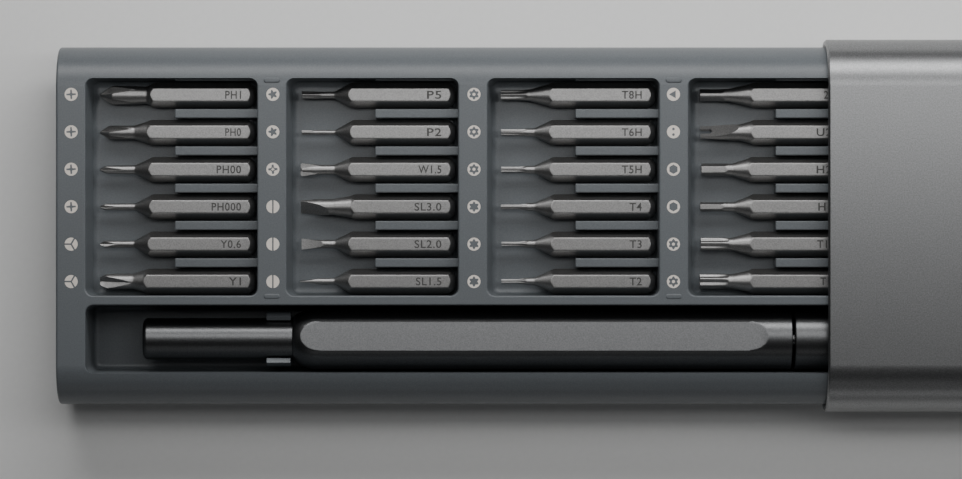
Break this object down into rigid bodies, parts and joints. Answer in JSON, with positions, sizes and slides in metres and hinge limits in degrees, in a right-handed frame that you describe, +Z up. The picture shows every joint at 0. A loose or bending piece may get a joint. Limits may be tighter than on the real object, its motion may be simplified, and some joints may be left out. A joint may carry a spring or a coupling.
{
  "type": "precision screwdriver set",
  "caption": "Pocket precision screwdriver set: a tray of short hexagonal bits and a slim driver handle slides out of a flat aluminium sleeve.",
  "frame": {"origin": "bottom centre of the whole kit with its tray slid out, midway between the tray's outer end and the sleeve's closed end, on the surface that the sleeve rests on", "axes": "+X along the kit towards the sleeve's closed end, +Y across it from the handle's side to the bits' side, +Z up out of the tray"},
  "size_m": [0.3066, 0.0676, 0.0176],
  "materials": {
    "sleeve": "bead-blasted and anodised mid grey",
    "tray": "fine matte blue-grey moulding",
    "bit_steel": "satin blasted tool steel",
    "handle": "blasted and anodised dark grey",
    "bright_steel": "turned steel",
    "magnet": "nickel-plated magnet",
    "dark_plastic": "black moulded plastic"
  },
  "bodies": {
    "sleeve": {"sleeve_shell": "sleeve", "rear_end_cap": "sleeve", "latch_housing": "dark_plastic", "latch_screw_1": "bright_steel", "latch_screw_2": "bright_steel"},
    "latch": {"latch_carriage": "dark_plastic", "latch_spring": "bright_steel"},
    "tray": {"tray_frame": "tray", "tray_base_plate": "dark_plastic", "tray_striker": "bright_steel", "handle_clip": "tray", "magnet_strip_1": "magnet", "magnet_strip_2": "magnet", "magnet_strip_3": "magnet", "magnet_strip_4": "magnet", "base_screw_1": "bright_steel", "base_screw_2": "bright_steel", "base_screw_3": "bright_steel", "base_screw_4": "bright_steel"},
    "handle": {"grip_body": "handle", "bit_socket": "bright_steel", "socket_magnet": "magnet", "cap_axle": "bright_steel", "bearing_inner_ring": "bright_steel", "axle_clip": "bright_steel"},
    "cap": {"end_cap": "handle", "bearing_outer_ring": "bright_steel"},
    "ph1_bit": {"bit_ph1": "bit_steel"},
    "ph0_bit": {"bit_ph0": "bit_steel"},
    "ph00_bit": {"bit_ph00": "bit_steel"},
    "ph000_bit": {"bit_ph000": "bit_steel"},
    "y06_bit": {"bit_y06": "bit_steel"},
    "y1_bit": {"bit_y1": "bit_steel"},
    "p5_bit": {"bit_p5": "bit_steel"},
    "p2_bit": {"bit_p2": "bit_steel"},
    "w15_bit": {"bit_w15": "bit_steel"},
    "sl30_bit": {"bit_sl30": "bit_steel"},
    "sl20_bit": {"bit_sl20": "bit_steel"},
    "sl15_bit": {"bit_sl15": "bit_steel"},
    "t8h_bit": {"bit_t8h": "bit_steel"},
    "t6h_bit": {"bit_t6h": "bit_steel"},
    "t5h_bit": {"bit_t5h": "bit_steel"},
    "t4_bit": {"bit_t4": "bit_steel"},
    "t3_bit": {"bit_t3": "bit_steel"},
    "t2_bit": {"bit_t2": "bit_steel"},
    "tri23_bit": {"bit_tri23": "bit_steel"},
    "u26_bit": {"bit_u26": "bit_steel"},
    "h20_bit": {"bit_h20": "bit_steel"},
    "h15_bit": {"bit_h15": "bit_steel"},
    "t10h_bit": {"bit_t10h": "bit_steel"},
    "t15h_bit": {"bit_t15h": "bit_steel"}
  },
  "joints": [
    {"name": "tray_slide", "type": "slide", "parent": "sleeve", "child": "tray", "axis": [-1, 0, 0], "range_m": [-0.1386, 0.008]},
    {"name": "latch_push", "type": "slide", "parent": "sleeve", "child": "latch", "axis": [1, 0, 0], "range_m": [0, 0.002], "stiffness_N_per_m": 150, "springref_m": -0.002, "deforming": ["latch_spring"]},
    {"name": "handle_lift", "type": "hinge", "parent": "tray", "child": "handle", "pos_m": [-0.0096, -0.0205, 0.0153], "axis": [0, 1, 0], "range_deg": [0, 9], "deforming": ["handle_clip"]},
    {"name": "end_cap_spin", "type": "hinge", "parent": "handle", "child": "cap", "pos_m": [-0.0096, -0.0205, 0.0098], "axis": [1, 0, 0], "continuous": true},
    {"name": "ph1_lift", "type": "slide", "parent": "tray", "child": "ph1_bit", "axis": [0, 0, 1], "range_m": [0, 0.03]},
    {"name": "ph0_lift", "type": "slide", "parent": "tray", "child": "ph0_bit", "axis": [0, 0, 1], "range_m": [0, 0.03]},
    {"name": "ph00_lift", "type": "slide", "parent": "tray", "child": "ph00_bit", "axis": [0, 0, 1], "range_m": [0, 0.03]},
    {"name": "ph000_lift", "type": "slide", "parent": "tray", "child": "ph000_bit", "axis": [0, 0, 1], "range_m": [0, 0.03]},
    {"name": "y06_lift", "type": "slide", "parent": "tray", "child": "y06_bit", "axis": [0, 0, 1], "range_m": [0, 0.03]},
    {"name": "y1_lift", "type": "slide", "parent": "tray", "child": "y1_bit", "axis": [0, 0, 1], "range_m": [0, 0.03]},
    {"name": "p5_lift", "type": "slide", "parent": "tray", "child": "p5_bit", "axis": [0, 0, 1], "range_m": [0, 0.03]},
    {"name": "p2_lift", "type": "slide", "parent": "tray", "child": "p2_bit", "axis": [0, 0, 1], "range_m": [0, 0.03]},
    {"name": "w15_lift", "type": "slide", "parent": "tray", "child": "w15_bit", "axis": [0, 0, 1], "range_m": [0, 0.03]},
    {"name": "sl30_lift", "type": "slide", "parent": "tray", "child": "sl30_bit", "axis": [0, 0, 1], "range_m": [0, 0.03]},
    {"name": "sl20_lift", "type": "slide", "parent": "tray", "child": "sl20_bit", "axis": [0, 0, 1], "range_m": [0, 0.03]},
    {"name": "sl15_lift", "type": "slide", "parent": "tray", "child": "sl15_bit", "axis": [0, 0, 1], "range_m": [0, 0.03]},
    {"name": "t8h_lift", "type": "slide", "parent": "tray", "child": "t8h_bit", "axis": [0, 0, 1], "range_m": [0, 0.03]},
    {"name": "t6h_lift", "type": "slide", "parent": "tray", "child": "t6h_bit", "axis": [0, 0, 1], "range_m": [0, 0.03]},
    {"name": "t5h_lift", "type": "slide", "parent": "tray", "child": "t5h_bit", "axis": [0, 0, 1], "range_m": [0, 0.03]},
    {"name": "t4_lift", "type": "slide", "parent": "tray", "child": "t4_bit", "axis": [0, 0, 1], "range_m": [0, 0.03]},
    {"name": "t3_lift", "type": "slide", "parent": "tray", "child": "t3_bit", "axis": [0, 0, 1], "range_m": [0, 0.03]},
    {"name": "t2_lift", "type": "slide", "parent": "tray", "child": "t2_bit", "axis": [0, 0, 1], "range_m": [0, 0.03]},
    {"name": "tri23_tip", "type": "hinge", "parent": "tray", "child": "tri23_bit", "pos_m": [-0.00946, 0.02355, 0.014], "axis": [0, 1, 0], "range_deg": [0, 18]},
    {"name": "u26_tip", "type": "hinge", "parent": "tray", "child": "u26_bit", "pos_m": [-0.00946, 0.01683, 0.014], "axis": [0, 1, 0], "range_deg": [0, 18]},
    {"name": "h20_tip", "type": "hinge", "parent": "tray", "child": "h20_bit", "pos_m": [-0.00946, 0.01011, 0.014], "axis": [0, 1, 0], "range_deg": [0, 18]},
    {"name": "h15_tip", "type": "hinge", "parent": "tray", "child": "h15_bit", "pos_m": [-0.00946, 0.00339, 0.014], "axis": [0, 1, 0], "range_deg": [0, 18]},
    {"name": "t10h_tip", "type": "hinge", "parent": "tray", "child": "t10h_bit", "pos_m": [-0.00946, -0.00333, 0.014], "axis": [0, 1, 0], "range_deg": [0, 18]},
    {"name": "t15h_tip", "type": "hinge", "parent": "tray", "child": "t15h_bit", "pos_m": [-0.00946, -0.01005, 0.014], "axis": [0, 1, 0], "range_deg": [0, 18]}
  ]
}
